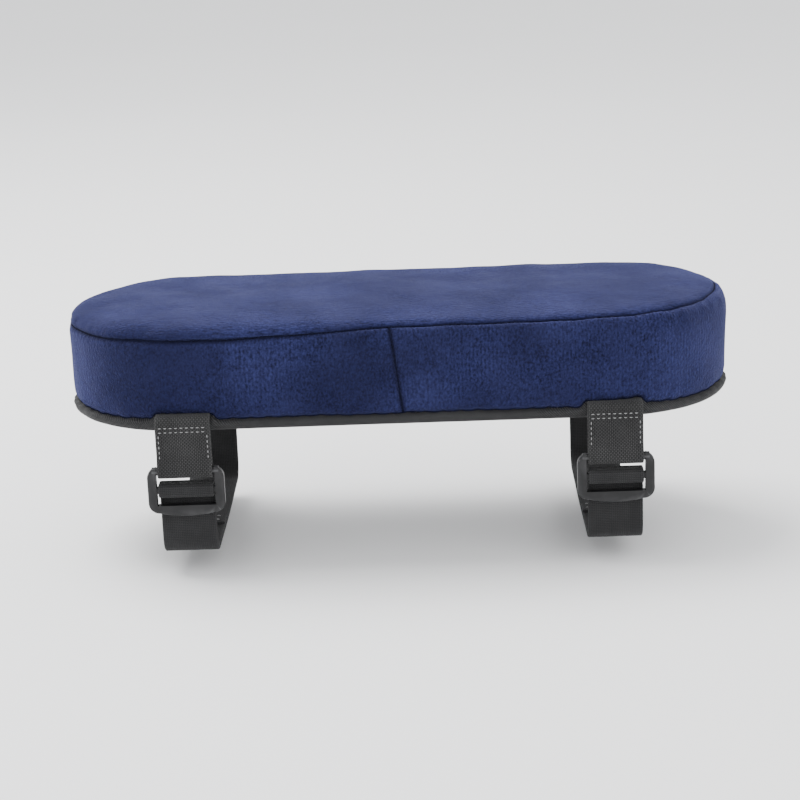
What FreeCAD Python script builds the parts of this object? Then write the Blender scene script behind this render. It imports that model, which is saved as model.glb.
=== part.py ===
import FreeCAD, Part
import math
import os

# Chair armrest pad: an obround foam pad in a sewn cover, held to an armrest by two webbing straps.
# Millimetres. X runs along the pad, -Y is the side with the strap sliders, +Y the side with the zip,
# +Z is up. The origin is the centre of the plane on which the grip dots' flat tips meet the armrest.

# Pad
PAD_LENGTH = 250.0
PAD_WIDTH = 94.0
PAD_HEIGHT = 41.0
TOP_ROUND = 6.0
BOTTOM_ROUND = 4.0
PLUSH_THICKNESS = 1.5
GRIP_THICKNESS = 1.0
FOAM_EASE = 0.1
TOP_SEAM_DROP = 8.0
RIM_HEIGHT = 5.0

# Grip dots
DOT_HEIGHT = 0.6
DOT_TIP_RADIUS = 0.6
DOT_BASE_RADIUS = 1.0
DOT_PITCH = 8.4
DOT_ROW_PITCH = 4.8
DOT_MARGIN = 6.0

# Zip in the far side of the band
ZIP_FACING_LENGTH = 128.0
ZIP_WINDOW = 6.8
TAPE_WIDTH = 10.5
TAPE_THICKNESS = 0.5
TAPE_LENGTH = 124.0
COIL_LENGTH = 112.0
COIL_WIDTH = 1.7
COIL_HEIGHT = 1.5
CHAIN_GAP = 1.0
STOP_LENGTH = 2.5
STOP_HEIGHT = 1.7
SLIDER_LENGTH = 8.0
SLIDER_PLATE = 1.2
SLIDER_FLANGE = 0.6
SLIDER_BRIDGE = 0.5
SLIDER_CLEARANCE = 0.3
STOP_CLEARANCE = 0.5
LUG_LENGTH = 2.6
LUG_WIDTH = 1.8
PULL_PIN_RADIUS = 0.6
PULL_PIN_CLEARANCE = 0.06
PULL_PIN_HEIGHT = 1.6
PULL_LENGTH = 19.0
PULL_WIDTH = 5.4
PULL_THICKNESS = 1.2
PULL_LUG_CLEARANCE = 0.3
POCKET_CLEARANCE = 0.4

# Webbing
STRAP_POSITION = 78.0
WEBBING_WIDTH = 20.0
WEBBING_THICKNESS = 1.2
LAYER_GAP = 0.3
SEAM_ALLOWANCE = 8.0
COVER_CLEARANCE = 0.15
SIDE_CLEARANCE = 0.3

# Strap slider: three bars between two rails
INNER_BAR_DROP = 13.0
INNER_BAR_RADIUS = 1.5
BAR_CLEARANCE = 0.08
TAB_NECK = 5.5
BAR_PITCH = 7.2
BUCKLE_WIDTH = 28.0
BUCKLE_THICKNESS = 2.8
BUCKLE_CORNER = 4.0
BUCKLE_EDGE = 0.5
WINDOW_CLEARANCE = 0.7
CENTRE_BAR_HEIGHT = 2.6
CENTRE_BAR_THICKNESS = 2.4
OUTER_BAR_HEIGHT = 3.0
OUTER_BAR_ARCH = 1.2
WRAP_CLEARANCE = 0.15
WRAP_BEND = 1.0
WRAP_END_DROP = 5.0

# Strap loop under the armrest
STRAP_ROOT_DROP = 2.0
LOOP_DEPTH = 46.0
TILT_LENGTH = 3.4
LOOP_CORNER = 7.0
TAIL_REACH = 34.0
HEM_LENGTH = 8.0

# Derived places
UNDERSIDE = DOT_HEIGHT
HALF_WIDTH = PAD_WIDTH / 2
STRAIGHT = PAD_LENGTH - PAD_WIDTH
TOP_SEAM = PAD_HEIGHT - TOP_SEAM_DROP
FOAM_INSET = PLUSH_THICKNESS + FOAM_EASE
TAPE_FACE = HALF_WIDTH - PLUSH_THICKNESS
COIL_FACE = TAPE_FACE + COIL_HEIGHT
ZIP_HEIGHT = (RIM_HEIGHT + TOP_SEAM) / 2
PLATE_FACE = COIL_FACE + SLIDER_CLEARANCE + SLIDER_PLATE
BACK_PLATE = TAPE_FACE - TAPE_THICKNESS - SLIDER_CLEARANCE - SLIDER_PLATE
SLIDER_HALF_WIDTH = CHAIN_GAP / 2 + COIL_WIDTH + SLIDER_CLEARANCE + SLIDER_FLANGE
SLIDER_X = COIL_LENGTH / 2 - SLIDER_LENGTH / 2 - STOP_CLEARANCE
PULL_PIN_Y = PLATE_FACE + PULL_PIN_HEIGHT

HALF_WEB = WEBBING_THICKNESS / 2
SEAM_BEND = COVER_CLEARANCE + HALF_WEB
TAB_FACE = -(HALF_WIDTH + COVER_CLEARANCE)
BUCKLE_Y = TAB_FACE - WEBBING_THICKNESS
INNER_BAR_Z = -INNER_BAR_DROP
CENTRE_BAR_Z = INNER_BAR_Z - BAR_PITCH
OUTER_BAR_Z = CENTRE_BAR_Z - BAR_PITCH
WINDOW_HALF = WEBBING_WIDTH / 2 + WINDOW_CLEARANCE
LEG_Y = BUCKLE_Y + BUCKLE_THICKNESS / 2 + LAYER_GAP + HALF_WEB
TAIL_Y = LEG_Y + WEBBING_THICKNESS + LAYER_GAP
FAR_LEG_Y = HALF_WIDTH + COVER_CLEARANCE + HALF_WEB
WRAP_END_Z = CENTRE_BAR_Z - WRAP_END_DROP
LOOP_TURN_Z = -LOOP_DEPTH + LOOP_CORNER
LEG_SPLIT_Z = WRAP_END_Z - TILT_LENGTH
LOOP_TAIL_Z = -LOOP_DEPTH + WEBBING_THICKNESS + LAYER_GAP
STRAP_ROOT_Z = -STRAP_ROOT_DROP
PLANE_TOLERANCE = 1e-4


def vec(x, y, z):
    return FreeCAD.Vector(x, y, z)


def block(x0, x1, y0, y1, z0, z1):
    return Part.makeBox(x1 - x0, y1 - y0, z1 - z0, vec(x0, y0, z0))


def join(solids):
    whole = solids[0].multiFuse(solids[1:]) if len(solids) > 1 else solids[0]
    return whole.removeSplitter()


def export(shape, node):
    shape.exportStep("parts/" + node + ".step")


# ---- Pad form -------------------------------------------------------------------------------------


def obround(inset, z0, z1):
    """Upright prism on the pad's outline, moved in by inset."""
    radius = HALF_WIDTH - inset
    end = STRAIGHT / 2
    edges = [
        Part.LineSegment(vec(-end, -radius, z0), vec(end, -radius, z0)).toShape(),
        Part.Arc(vec(end, -radius, z0), vec(end + radius, 0, z0), vec(end, radius, z0)).toShape(),
        Part.LineSegment(vec(end, radius, z0), vec(-end, radius, z0)).toShape(),
        Part.Arc(vec(-end, radius, z0), vec(-end - radius, 0, z0), vec(-end, -radius, z0)).toShape(),
    ]
    return Part.Face(Part.Wire(edges)).extrude(vec(0, 0, z1 - z0))


def edges_on(shape, axis, place):
    """The shape's edges that lie in the plane where this axis has this value."""
    low = axis + "Min"
    high = axis + "Max"
    found = []
    for edge in shape.Edges:
        box = edge.BoundBox
        if abs(getattr(box, low) - place) + abs(getattr(box, high) - place) < PLANE_TOLERANCE:
            found.append(edge)
    return found


def pad_form(inset, bottom, top):
    """The pad's rounded body, moved in by inset at the sides and cut to the given heights."""
    form = obround(inset, bottom, top)
    form = form.makeFillet(TOP_ROUND - inset, edges_on(form, "Z", top))
    return form.makeFillet(BOTTOM_ROUND - inset, edges_on(form, "Z", bottom))


def height_slice(shape, z0, z1):
    reach = PAD_LENGTH
    return shape.common(block(-reach, reach, -reach, reach, z0, z1))


def cover_shell(thickness, z0, z1):
    outer = pad_form(0, UNDERSIDE, PAD_HEIGHT)
    inner = pad_form(thickness, UNDERSIDE + GRIP_THICKNESS, PAD_HEIGHT - PLUSH_THICKNESS)
    return height_slice(outer.cut(inner), z0, z1)


def strap_notches():
    """Gaps through the bottom seam: one per tab on the near side, one per strap on the far side."""
    half = WEBBING_WIDTH / 2 + SIDE_CLEARANCE
    near_top = RIM_HEIGHT + 2 * WEBBING_THICKNESS
    far_top = RIM_HEIGHT + WEBBING_THICKNESS
    inner_reach = HALF_WIDTH - SEAM_ALLOWANCE - SIDE_CLEARANCE
    outer_reach = HALF_WIDTH + BUCKLE_THICKNESS
    notches = []
    for x in (-STRAP_POSITION, STRAP_POSITION):
        notches.append(block(x - half, x + half, -outer_reach, -inner_reach, RIM_HEIGHT, near_top))
        notches.append(block(x - half, x + half, inner_reach, outer_reach, RIM_HEIGHT, far_top))
    return notches


def cut_all(shape, tools):
    for tool in tools:
        shape = shape.cut(tool)
    return shape


def foam_core():
    """Foam block that fills the cover, with room for the zip and for the webbing's sewn-in ends."""
    foam = pad_form(FOAM_INSET, UNDERSIDE + GRIP_THICKNESS + FOAM_EASE, PAD_HEIGHT - FOAM_INSET)
    half = max(TAPE_LENGTH, COIL_LENGTH + 2 * STOP_LENGTH) / 2 + POCKET_CLEARANCE
    reach = CHAIN_GAP / 2 + TAPE_WIDTH + POCKET_CLEARANCE
    pocket = block(
        -half, half, BACK_PLATE - POCKET_CLEARANCE, PAD_WIDTH, ZIP_HEIGHT - reach, ZIP_HEIGHT + reach
    )
    return cut_all(foam, [pocket] + strap_notches())


def top_panel():
    return cover_shell(PLUSH_THICKNESS, TOP_SEAM, PAD_HEIGHT)


def bottom_panel():
    return cover_shell(GRIP_THICKNESS, UNDERSIDE, RIM_HEIGHT)


def side_band(side):
    """Half the band, from the near side's middle seam round one end to the zip facing."""
    band = cover_shell(PLUSH_THICKNESS, RIM_HEIGHT, TOP_SEAM)
    reach = PAD_LENGTH
    other = block(min(0, -side * reach), max(0, -side * reach), -reach, reach, -reach, reach)
    facing = block(-ZIP_FACING_LENGTH / 2, ZIP_FACING_LENGTH / 2, 0, reach, -reach, reach)
    return cut_all(band, [other, facing] + strap_notches())


def zip_panel(side):
    """Plush facing above (side 1) or below (side -1) the zip's chain."""
    half = ZIP_FACING_LENGTH / 2
    edge = ZIP_HEIGHT + side * ZIP_WINDOW / 2
    seam = TOP_SEAM if side > 0 else RIM_HEIGHT
    return block(-half, half, TAPE_FACE, HALF_WIDTH, min(edge, seam), max(edge, seam))


def grip_dots():
    """Frustums in staggered rows, kept inside the panel's edge, with one at the origin."""
    dots = []
    rows = int(HALF_WIDTH / DOT_ROW_PITCH)
    columns = int(PAD_LENGTH / DOT_PITCH)
    for row in range(-rows, rows + 1):
        shift = (row % 2) * DOT_PITCH / 2
        for column in range(-columns, columns + 1):
            x = column * DOT_PITCH + shift
            y = row * DOT_ROW_PITCH
            beyond = max(0.0, abs(x) - STRAIGHT / 2)
            if math.hypot(beyond, y) > HALF_WIDTH - DOT_MARGIN:
                continue
            dots.append(Part.makeCone(DOT_TIP_RADIUS, DOT_BASE_RADIUS, DOT_HEIGHT, vec(x, y, 0)))
    return Part.makeCompound(dots)


# ---- Zip ------------------------------------------------------------------------------------------


def zip_tape(side):
    half = TAPE_LENGTH / 2
    near = ZIP_HEIGHT + side * CHAIN_GAP / 2
    far = near + side * TAPE_WIDTH
    return block(-half, half, TAPE_FACE - TAPE_THICKNESS, TAPE_FACE, min(near, far), max(near, far))


def zip_coil(side):
    half = COIL_LENGTH / 2
    near = ZIP_HEIGHT + side * CHAIN_GAP / 2
    far = near + side * COIL_WIDTH
    bar = block(-half, half, TAPE_FACE, COIL_FACE, min(near, far), max(near, far))
    crest_edges = [e for e in edges_on(bar, "Y", COIL_FACE) if e.BoundBox.XLength > COIL_LENGTH / 2]
    return bar.makeFillet(min(COIL_WIDTH, COIL_HEIGHT) * 0.4, crest_edges)


def zip_stop(side):
    """Metal stop across both tapes, just past one end of the coils."""
    start = side * COIL_LENGTH / 2
    end = start + side * STOP_LENGTH
    half = CHAIN_GAP / 2 + COIL_WIDTH
    face = TAPE_FACE + STOP_HEIGHT
    stop = block(min(start, end), max(start, end), TAPE_FACE, face, ZIP_HEIGHT - half, ZIP_HEIGHT + half)
    return stop.makeFillet(STOP_HEIGHT * 0.25, edges_on(stop, "Y", face))


def zip_slider():
    """Front and back plates joined by a bridge in the chain's gap, side flanges and a lug for the pull."""
    x0 = SLIDER_X - SLIDER_LENGTH / 2
    x1 = SLIDER_X + SLIDER_LENGTH / 2
    z0 = ZIP_HEIGHT - SLIDER_HALF_WIDTH
    z1 = ZIP_HEIGHT + SLIDER_HALF_WIDTH
    front_inner = PLATE_FACE - SLIDER_PLATE
    front = block(x0, x1, front_inner, PLATE_FACE, z0, z1)
    corners = [e for e in front.Edges if e.BoundBox.YLength > SLIDER_PLATE / 2]
    front = front.makeFillet(SLIDER_HALF_WIDTH * 0.4, corners)
    back = block(x0, x1, BACK_PLATE, BACK_PLATE + SLIDER_PLATE, z0, z1)
    bridge_z = ZIP_HEIGHT - SLIDER_BRIDGE / 2
    bridge = block(
        SLIDER_X, x1 - SLIDER_PLATE, BACK_PLATE, front_inner, bridge_z, bridge_z + SLIDER_BRIDGE
    )
    solid = front.fuse(back).fuse(bridge)
    for side in (-1, 1):
        outer = ZIP_HEIGHT + side * SLIDER_HALF_WIDTH
        inner = outer - side * SLIDER_FLANGE
        flange = block(
            x0 + SLIDER_PLATE,
            x1 - SLIDER_PLATE,
            TAPE_FACE + SLIDER_CLEARANCE,
            front_inner,
            min(inner, outer),
            max(inner, outer),
        )
        solid = solid.fuse(flange)
    half_lug = LUG_LENGTH / 2
    lug = block(
        SLIDER_X - half_lug,
        SLIDER_X + half_lug,
        PLATE_FACE,
        PULL_PIN_Y,
        ZIP_HEIGHT - LUG_WIDTH / 2,
        ZIP_HEIGHT + LUG_WIDTH / 2,
    )
    base = vec(SLIDER_X, PULL_PIN_Y, ZIP_HEIGHT - LUG_WIDTH / 2)
    crown = Part.makeCylinder(half_lug, LUG_WIDTH, base, vec(0, 0, 1))
    bore = Part.makeCylinder(PULL_PIN_RADIUS + PULL_PIN_CLEARANCE, LUG_WIDTH, base, vec(0, 0, 1))
    return solid.fuse(lug).fuse(crown).cut(bore).removeSplitter()


def zip_pull():
    """Flat pull lying along the chain: two arms and a pin through the slider's lug, then a rounded tab."""
    half = PULL_THICKNESS / 2
    half_width = PULL_WIDTH / 2
    window = LUG_WIDTH / 2 + PULL_LUG_CLEARANCE
    hole_end = SLIDER_X - LUG_LENGTH / 2 - 4 * PULL_LUG_CLEARANCE
    tip = SLIDER_X - PULL_LENGTH
    y0 = PULL_PIN_Y - half
    y1 = PULL_PIN_Y + half
    plate = block(tip, SLIDER_X, y0, y1, ZIP_HEIGHT - half_width, ZIP_HEIGHT + half_width)
    tip_edges = [e for e in edges_on(plate, "X", tip) if e.BoundBox.YLength > half]
    plate = plate.makeFillet(half_width * 0.6, tip_edges)
    slot = block(hole_end, SLIDER_X + half, -PAD_WIDTH, PAD_WIDTH, ZIP_HEIGHT - window, ZIP_HEIGHT + window)
    base = vec(SLIDER_X, PULL_PIN_Y, ZIP_HEIGHT - half_width)
    pin = Part.makeCylinder(PULL_PIN_RADIUS, PULL_WIDTH, base, vec(0, 0, 1))
    return plate.cut(slot).fuse(pin).removeSplitter()


# ---- Webbing --------------------------------------------------------------------------------------


def ribbon(points, radii, x, width):
    """Webbing of one thickness whose centre line runs through YZ points, rounded by radii at each bend."""
    starts = [points[0]]
    arcs = []
    for before, corner, after, radius in zip(points, points[1:], points[2:], radii):
        come = unit(corner, before)
        leave = unit(corner, after)
        turn = math.acos(max(-1.0, min(1.0, come[0] * leave[0] + come[1] * leave[1])))
        back = radius / math.tan(turn / 2)
        enter = (corner[0] + come[0] * back, corner[1] + come[1] * back)
        exit_point = (corner[0] + leave[0] * back, corner[1] + leave[1] * back)
        middle = unit((0, 0), (come[0] + leave[0], come[1] + leave[1]))
        centre_distance = radius / math.sin(turn / 2)
        centre = (corner[0] + middle[0] * centre_distance, corner[1] + middle[1] * centre_distance)
        arcs.append((enter, exit_point, centre, radius))
        starts.append(exit_point)
    ends = [arc[0] for arc in arcs] + [points[-1]]
    faces = [straight_web(start, end) for start, end in zip(starts, ends) if distance(start, end) > 1e-6]
    faces += [bent_web(*arc) for arc in arcs]
    web = join([face.extrude(vec(width, 0, 0)) for face in faces])
    web.translate(vec(x - width / 2, 0, 0))
    return web


def unit(start, end):
    length = distance(start, end)
    return ((end[0] - start[0]) / length, (end[1] - start[1]) / length)


def distance(start, end):
    return math.hypot(end[0] - start[0], end[1] - start[1])


def straight_web(start, end):
    along = unit(start, end)
    across = (-along[1] * HALF_WEB, along[0] * HALF_WEB)
    corners = [
        vec(0, start[0] + across[0], start[1] + across[1]),
        vec(0, end[0] + across[0], end[1] + across[1]),
        vec(0, end[0] - across[0], end[1] - across[1]),
        vec(0, start[0] - across[0], start[1] - across[1]),
    ]
    return Part.Face(Part.makePolygon(corners + corners[:1]))


def bent_web(enter, exit_point, centre, radius):
    toward_enter = unit(centre, enter)
    toward_exit = unit(centre, exit_point)
    toward_middle = unit((0, 0), (toward_enter[0] + toward_exit[0], toward_enter[1] + toward_exit[1]))

    def on(direction, reach):
        return vec(0, centre[0] + direction[0] * reach, centre[1] + direction[1] * reach)

    outer = radius + HALF_WEB
    inner = radius - HALF_WEB
    edges = [
        Part.Arc(on(toward_enter, outer), on(toward_middle, outer), on(toward_exit, outer)).toShape(),
        Part.LineSegment(on(toward_exit, outer), on(toward_exit, inner)).toShape(),
        Part.Arc(on(toward_exit, inner), on(toward_middle, inner), on(toward_enter, inner)).toShape(),
        Part.LineSegment(on(toward_enter, inner), on(toward_enter, outer)).toShape(),
    ]
    return Part.Face(Part.Wire(edges))


def teardrop(radius, half_neck, neck_height, x, width):
    """Round end under a neck: the outline that folded webbing takes round the slider's inner bar."""
    reach = math.hypot(half_neck, neck_height)
    angle = math.atan2(neck_height, half_neck) - math.acos(radius / reach)
    touch = (radius * math.cos(angle), radius * math.sin(angle))

    def at(y, z):
        return vec(x - width / 2, BUCKLE_Y + y, INNER_BAR_Z + z)

    edges = [
        Part.LineSegment(at(-half_neck, neck_height), at(-touch[0], touch[1])).toShape(),
        Part.Arc(at(-touch[0], touch[1]), at(0, -radius), at(touch[0], touch[1])).toShape(),
        Part.LineSegment(at(touch[0], touch[1]), at(half_neck, neck_height)).toShape(),
        Part.LineSegment(at(half_neck, neck_height), at(-half_neck, neck_height)).toShape(),
    ]
    return Part.Face(Part.Wire(edges)).extrude(vec(width, 0, 0))


def tab(x):
    """Doubled webbing: sewn into the seam, over its edge, down, and folded round the slider's inner bar."""
    neck_z = INNER_BAR_Z + TAB_NECK
    hole_radius = INNER_BAR_RADIUS + BAR_CLEARANCE
    fold = teardrop(hole_radius + WEBBING_THICKNESS, WEBBING_THICKNESS, TAB_NECK, x, WEBBING_WIDTH)
    hole = teardrop(hole_radius, 0.02, TAB_NECK - WEBBING_THICKNESS, x, WEBBING_WIDTH)
    inside_end = -(HALF_WIDTH - SEAM_ALLOWANCE)
    solid = fold.cut(hole)
    for layer in (0, 1):
        stack = layer * WEBBING_THICKNESS
        layer_y = BUCKLE_Y + HALF_WEB - stack
        layer_z = RIM_HEIGHT + HALF_WEB + stack
        bend = SEAM_BEND + stack
        path = [(inside_end, layer_z), (layer_y, layer_z), (layer_y, neck_z)]
        solid = solid.fuse(ribbon(path, [bend], x, WEBBING_WIDTH))
    return solid.removeSplitter()


def buckle_outline():
    """Slider outline in XZ: straight inner edge, rounded corners, outer edge bowed outwards."""
    half = BUCKLE_WIDTH / 2
    flat = half - BUCKLE_CORNER
    bevel = half - BUCKLE_CORNER * (1 - math.sqrt(0.5))
    top = INNER_BAR_Z + INNER_BAR_RADIUS
    bottom = OUTER_BAR_Z - OUTER_BAR_HEIGHT / 2
    top_side = top - BUCKLE_CORNER
    bottom_side = bottom + BUCKLE_CORNER
    top_bevel = top - (half - bevel)
    bottom_bevel = bottom + (half - bevel)

    def at(px, pz):
        return vec(px, BUCKLE_Y - BUCKLE_THICKNESS / 2, pz)

    edges = [
        Part.LineSegment(at(-flat, top), at(flat, top)).toShape(),
        Part.Arc(at(flat, top), at(bevel, top_bevel), at(half, top_side)).toShape(),
        Part.LineSegment(at(half, top_side), at(half, bottom_side)).toShape(),
        Part.Arc(at(half, bottom_side), at(bevel, bottom_bevel), at(flat, bottom)).toShape(),
        Part.Arc(at(flat, bottom), at(0, bottom - OUTER_BAR_ARCH), at(-flat, bottom)).toShape(),
        Part.Arc(at(-flat, bottom), at(-bevel, bottom_bevel), at(-half, bottom_side)).toShape(),
        Part.LineSegment(at(-half, bottom_side), at(-half, top_side)).toShape(),
        Part.Arc(at(-half, top_side), at(-bevel, top_bevel), at(-flat, top)).toShape(),
    ]
    return Part.Face(Part.Wire(edges))


def buckle(x):
    """Three-bar slider: round inner bar for the tab, centre bar for the strap, wide outer bar."""
    front = BUCKLE_Y - BUCKLE_THICKNESS / 2
    back = BUCKLE_Y + BUCKLE_THICKNESS / 2
    plate = buckle_outline().extrude(vec(0, BUCKLE_THICKNESS, 0))
    plate = plate.makeFillet(BUCKLE_EDGE, edges_on(plate, "Y", front) + edges_on(plate, "Y", back))
    reach = PAD_WIDTH
    half_bar = CENTRE_BAR_HEIGHT / 2
    bar_low = CENTRE_BAR_Z - half_bar
    bar_high = CENTRE_BAR_Z + half_bar
    outer_window = block(-WINDOW_HALF, WINDOW_HALF, -reach, 0, OUTER_BAR_Z + OUTER_BAR_HEIGHT / 2, bar_low)
    inner_window = block(-WINDOW_HALF, WINDOW_HALF, -reach, 0, bar_high, INNER_BAR_Z + reach)
    plate = plate.cut(outer_window).cut(inner_window)
    sunk = (BUCKLE_THICKNESS - CENTRE_BAR_THICKNESS) / 2
    for face in (front, back):
        plate = plate.cut(block(-WINDOW_HALF, WINDOW_HALF, face - sunk, face + sunk, bar_low, bar_high))
    bar_edges = edges_on(plate, "Z", bar_low) + edges_on(plate, "Z", bar_high)
    bar_edges = [edge for edge in bar_edges if edge.BoundBox.XLength > WINDOW_HALF]
    plate = plate.makeFillet(CENTRE_BAR_THICKNESS * 0.25, bar_edges)
    bar_length = 2 * WINDOW_HALF + BUCKLE_THICKNESS
    inner_bar = Part.makeCylinder(
        INNER_BAR_RADIUS, bar_length, vec(-bar_length / 2, BUCKLE_Y, INNER_BAR_Z), vec(1, 0, 0)
    )
    solid = plate.fuse(inner_bar).removeSplitter()
    solid.translate(vec(x, 0, 0))
    return solid


def strap_root(x):
    layer_z = RIM_HEIGHT + HALF_WEB
    path = [(HALF_WIDTH - SEAM_ALLOWANCE, layer_z), (FAR_LEG_Y, layer_z), (FAR_LEG_Y, STRAP_ROOT_Z)]
    return ribbon(path, [SEAM_BEND], x, WEBBING_WIDTH)


def leg(x, y, z_top, z_bottom):
    return ribbon([(y, z_top), (y, z_bottom)], [], x, WEBBING_WIDTH)


def strap_base(x):
    path = [(LEG_Y, LOOP_TURN_Z), (LEG_Y, -LOOP_DEPTH), (FAR_LEG_Y, -LOOP_DEPTH), (FAR_LEG_Y, LOOP_TURN_Z)]
    return ribbon(path, [LOOP_CORNER, LOOP_CORNER], x, WEBBING_WIDTH)


def strap_wrap(x):
    """The stretch of strap held by the slider: out under the centre bar, over it, back in and down."""
    across = CENTRE_BAR_HEIGHT / 2 + WRAP_CLEARANCE + HALF_WEB
    outside = BUCKLE_Y - CENTRE_BAR_THICKNESS / 2 - WRAP_CLEARANCE - HALF_WEB
    path = [
        (LEG_Y, WRAP_END_Z),
        (LEG_Y, CENTRE_BAR_Z - across),
        (outside, CENTRE_BAR_Z - across),
        (outside, CENTRE_BAR_Z + across),
        (TAIL_Y, CENTRE_BAR_Z + across),
        (TAIL_Y, WRAP_END_Z),
    ]
    return ribbon(path, [WRAP_BEND] * 4, x, WEBBING_WIDTH)


def tail_end(x):
    """The loose end, lying on the load layer under the armrest, with its end folded and sewn."""
    corner = LOOP_CORNER - WEBBING_THICKNESS - LAYER_GAP
    path = [(TAIL_Y, LOOP_TURN_Z), (TAIL_Y, LOOP_TAIL_Z), (TAIL_Y + TAIL_REACH, LOOP_TAIL_Z)]
    flat = ribbon(path, [corner], x, WEBBING_WIDTH)
    hem_z = LOOP_TAIL_Z + WEBBING_THICKNESS
    hem_end = TAIL_Y + TAIL_REACH
    hem = ribbon([(hem_end - HEM_LENGTH, hem_z), (hem_end, hem_z)], [], x, WEBBING_WIDTH)
    return flat.fuse(hem).removeSplitter()


# ---- Build ----------------------------------------------------------------------------------------


def export_strap(name, x):
    export(tab(x), name + "_tab")
    export(buckle(x), name + "_slider")
    export(strap_root(x), name + "_strap_root")
    export(leg(x, FAR_LEG_Y, STRAP_ROOT_Z, LOOP_TURN_Z), name + "_strap_far_leg")
    export(strap_base(x), name + "_strap_base")
    export(leg(x, LEG_Y, LEG_SPLIT_Z, LOOP_TURN_Z), name + "_strap_near_leg_lower")
    export(leg(x, LEG_Y, WRAP_END_Z, LEG_SPLIT_Z), name + "_strap_near_leg_upper")
    export(strap_wrap(x), name + "_strap_wrap")
    export(leg(x, TAIL_Y, WRAP_END_Z, LEG_SPLIT_Z), name + "_tail_upper")
    export(leg(x, TAIL_Y, LEG_SPLIT_Z, LOOP_TURN_Z), name + "_tail_lower")
    export(tail_end(x), name + "_tail_end")


os.makedirs("parts", exist_ok=True)
export(foam_core(), "foam_core")
export(top_panel(), "top_panel")
export(side_band(-1), "side_band_left")
export(side_band(1), "side_band_right")
export(bottom_panel(), "bottom_panel")
export(grip_dots(), "grip_dots")
export(zip_panel(1), "zip_panel_upper")
export(zip_panel(-1), "zip_panel_lower")
export(zip_tape(1), "zip_tape_upper")
export(zip_tape(-1), "zip_tape_lower")
export(zip_coil(1), "zip_coil_upper")
export(zip_coil(-1), "zip_coil_lower")
export(zip_stop(1), "zip_stop_closed")
export(zip_stop(-1), "zip_stop_open")
export(zip_slider(), "zip_slider")
export(zip_pull(), "zip_pull")
export_strap("left", -STRAP_POSITION)
export_strap("right", STRAP_POSITION)
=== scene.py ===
import math
from math import pi

import bpy
import bmesh
import numpy as np
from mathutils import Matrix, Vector, noise
from mathutils.bvhtree import BVHTree
from mathutils.kdtree import KDTree


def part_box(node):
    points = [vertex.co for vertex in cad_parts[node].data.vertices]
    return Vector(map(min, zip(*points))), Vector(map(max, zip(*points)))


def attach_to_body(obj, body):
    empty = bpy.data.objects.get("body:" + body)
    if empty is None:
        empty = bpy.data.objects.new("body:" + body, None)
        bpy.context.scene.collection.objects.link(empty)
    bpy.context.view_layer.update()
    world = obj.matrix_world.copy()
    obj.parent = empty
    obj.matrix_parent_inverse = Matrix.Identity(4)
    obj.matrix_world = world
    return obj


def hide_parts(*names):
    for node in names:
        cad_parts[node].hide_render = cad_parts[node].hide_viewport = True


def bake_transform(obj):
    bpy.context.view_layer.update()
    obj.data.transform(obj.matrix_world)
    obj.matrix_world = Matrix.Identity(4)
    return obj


# Looks of the armrest pad. Lengths are millimetres in the shape code, and metres where Blender or the
# frame takes them. X runs along the pad, -Y is the side with the strap sliders, +Z is up.

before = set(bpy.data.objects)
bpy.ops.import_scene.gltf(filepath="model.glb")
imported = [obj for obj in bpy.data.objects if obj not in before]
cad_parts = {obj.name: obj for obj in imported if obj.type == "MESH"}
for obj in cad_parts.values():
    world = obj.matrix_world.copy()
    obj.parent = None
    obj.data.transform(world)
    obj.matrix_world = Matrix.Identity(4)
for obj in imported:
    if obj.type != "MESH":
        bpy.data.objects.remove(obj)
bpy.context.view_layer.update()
MM = 0.001
NOISE_STEP = 17.3
WELD = 0.001


def box_mm(node):
    low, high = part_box(node)
    return np.array(low) / MM, np.array(high) / MM


# ---- Sizes read from the frame ----

HALF_LENGTH, HALF_WIDTH, PAD_TOP = box_mm("top_panel")[1]
RIM_LOW, RIM_HIGH = box_mm("bottom_panel")
FACING_HIGH = box_mm("zip_panel_lower")[1]
SLIDER_LOW, SLIDER_HIGH = box_mm("right_slider")
RIM_TOP_Z = RIM_HIGH[2]
UNDERSIDE_Z = RIM_LOW[2]
ZIP_LOW_Z = FACING_HIGH[2]
ZIP_HIGH_Z = box_mm("zip_panel_upper")[0][2]
ZIP_Z = (ZIP_LOW_Z + ZIP_HIGH_Z) / 2
ZIP_HALF = FACING_HIGH[0]
STRAP_X = SLIDER_LOW[0] / 2 + SLIDER_HIGH[0] / 2
CAP_X = HALF_LENGTH - HALF_WIDTH

# ---- Cover shape ----

TOP_ROUND = 6
BOTTOM_ROUND = 4
PLUSH_THICKNESS = 1.2
GRIP_THICKNESS = 0.8
CELL = 1
LIP_STEPS = np.array([0, 0.35, 0.7, 1.1, 1.6, 2.2, 3])
SEAM_DEPTH = 1.25
SEAM_REACH = 1.1
LIP_FALL = 1.4
SEAM_THREAD = 0.3
SEAM_THREAD_RISE = 0.12
STITCH_PITCH = 3.2
STITCH_DIMPLE = 0.12
DIMPLE_REACH = 2

# The top seam runs this far below the shoulder, then rises by so much between two places along X.
SEAM_DROP = 0.8
SEAM_RISES = ((4.2, -70, 20), (4.6, 30, 118))
SEAM_WANDER = 0.6
SEAM_WANDER_LENGTH = 38
SEWN_SCALLOP = 0.18
SEWN_WANDER = 0.35
SEWN_WANDER_LENGTH = 22
BAND_SEAM_LEAN = 3.6
BAND_SEAM_REACH = 12

# From where to where, past the webbing's edges, the bottom seam closes and the rim steps back up.
OPENING_EDGE = (0.2, 2.6)
RIM_STEP = (-0.6, 0.4)

RIM_WAVE = 0.35
RIM_WAVE_LENGTH = 9
RIM_SINK = 0.5
RIM_LIP = (1, 0.9)
RIM_FADE = 2

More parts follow.
